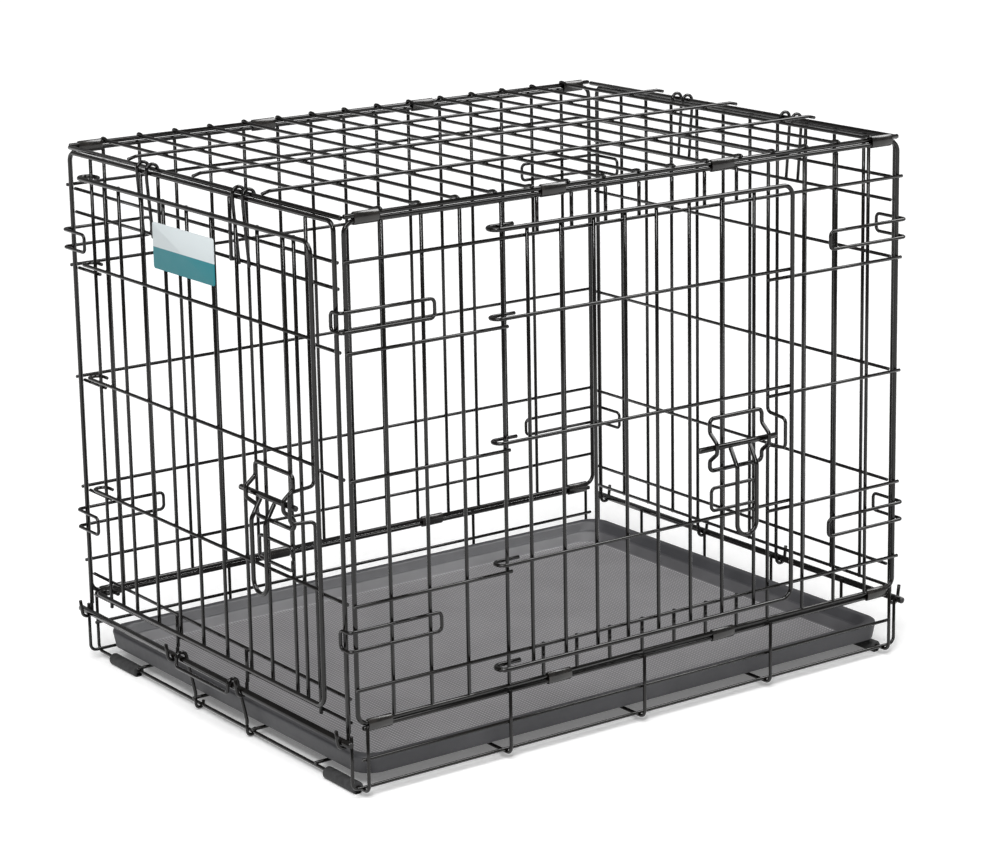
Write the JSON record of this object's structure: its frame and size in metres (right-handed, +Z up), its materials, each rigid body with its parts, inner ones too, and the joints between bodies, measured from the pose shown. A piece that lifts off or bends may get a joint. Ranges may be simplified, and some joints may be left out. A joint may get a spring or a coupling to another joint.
{
  "type": "folding wire pet crate",
  "caption": "Folding wire crate for a small dog, with a door in one end and one long side, slide-bolt latches, a removable pan with a wire stop, and rubber sleeve feet.",
  "frame": {"origin": "on the floor, under the middle of the whole crate with its latches", "axes": "+Z up, +X along the crate from the end door to the closed end, -Y the long side with a door"},
  "size_m": [0.6302, 0.4818, 0.4853],
  "materials": {
    "wire": "satin black coating",
    "clip": "satin black coating on sheet steel",
    "foot": "matt",
    "pan": "fine woven emboss",
    "card": "blank two-tone card"
  },
  "bodies": {
    "crate": {"tray_cross_wires": "wire", "tray_long_wires": "wire", "tray_side_rails": "wire", "tray_front_sill_rail": "wire", "tray_rear_sill_rail": "wire", "rubber_foot_1": "foot", "rubber_foot_2": "foot", "rubber_foot_3": "foot", "rubber_foot_4": "foot", "side_frame": "wire", "side_uprights": "wire", "side_jamb": "wire", "side_hinge_upright": "wire", "side_crossbars": "wire", "side_corner_loops": "wire", "back_frame": "wire", "back_uprights": "wire", "back_crossbars": "wire", "back_corner_loops": "wire", "top_side_rails": "wire", "top_cross_wires": "wire", "top_long_wires": "wire", "top_front_rail": "wire", "top_rear_rail": "wire", "side_low_clips": "clip", "side_high_clips": "clip", "back_low_clips": "clip", "back_high_clips": "clip"},
    "front_panel": {"front_frame": "wire", "front_uprights": "wire", "front_jamb": "wire", "front_hinge_upright": "wire", "front_crossbars": "wire", "front_hang_hooks": "wire", "front_spring_hooks": "wire"},
    "rear_panel": {"rear_frame": "wire", "rear_uprights": "wire", "rear_crossbars": "wire", "rear_hang_hooks": "wire", "rear_spring_hooks": "wire"},
    "side_door": {"side_door_frame": "wire", "side_door_uprights": "wire", "side_door_bars": "wire", "side_latch_guide": "wire", "side_latch_rest": "wire"},
    "side_latch": {"side_bolt": "wire", "side_bolt_handle": "wire"},
    "front_door": {"front_door_frame": "wire", "front_door_uprights": "wire", "front_door_bars": "wire", "front_latch_guide": "wire", "front_latch_rest": "wire", "label_card": "card"},
    "front_latch": {"front_bolt": "wire", "front_bolt_handle": "wire"},
    "pan": {"pan": "pan"},
    "pan_stop": {"pan_stop": "wire", "pan_stop_tips": "wire"}
  },
  "joints": [
    {"name": "side_door_swing", "type": "hinge", "parent": "crate", "child": "side_door", "pos_m": [-0.1335, -0.21275, 0.27], "axis": [0, 0, -1], "range_deg": [0, 140]},
    {"name": "side_latch_slide", "type": "slide", "parent": "side_door", "child": "side_latch", "axis": [1, 0, 0], "range_m": [0, 0.014]},
    {"name": "front_panel_fold", "type": "hinge", "parent": "crate", "child": "front_panel", "pos_m": [-0.284, 0.01175, 0.4782], "axis": [0, -1, 0], "range_deg": [0, 87], "deforming": ["front_spring_hooks"]},
    {"name": "front_door_swing", "type": "hinge", "parent": "front_panel", "child": "front_door", "pos_m": [-0.287, 0.19025, 0.27], "axis": [0, 0, 1], "range_deg": [-140, 0]},
    {"name": "front_latch_slide", "type": "slide", "parent": "front_door", "child": "front_latch", "axis": [0, -1, 0], "range_m": [0, 0.014]},
    {"name": "rear_panel_fold", "type": "hinge", "parent": "crate", "child": "rear_panel", "pos_m": [0.298, 0.01175, 0.4782], "axis": [0, 1, 0], "range_deg": [0, 70], "deforming": ["rear_spring_hooks"]},
    {"name": "pan_slide", "type": "slide", "parent": "crate", "child": "pan", "axis": [-1, 0, 0], "range_m": [0, 0.005]},
    {"name": "pan_stop_swing", "type": "hinge", "parent": "crate", "child": "pan_stop", "pos_m": [-0.2928, 0.01175, 0.05], "axis": [0, 1, 0], "range_deg": [0, 100], "deforming": ["pan_stop_tips"]}
  ]
}
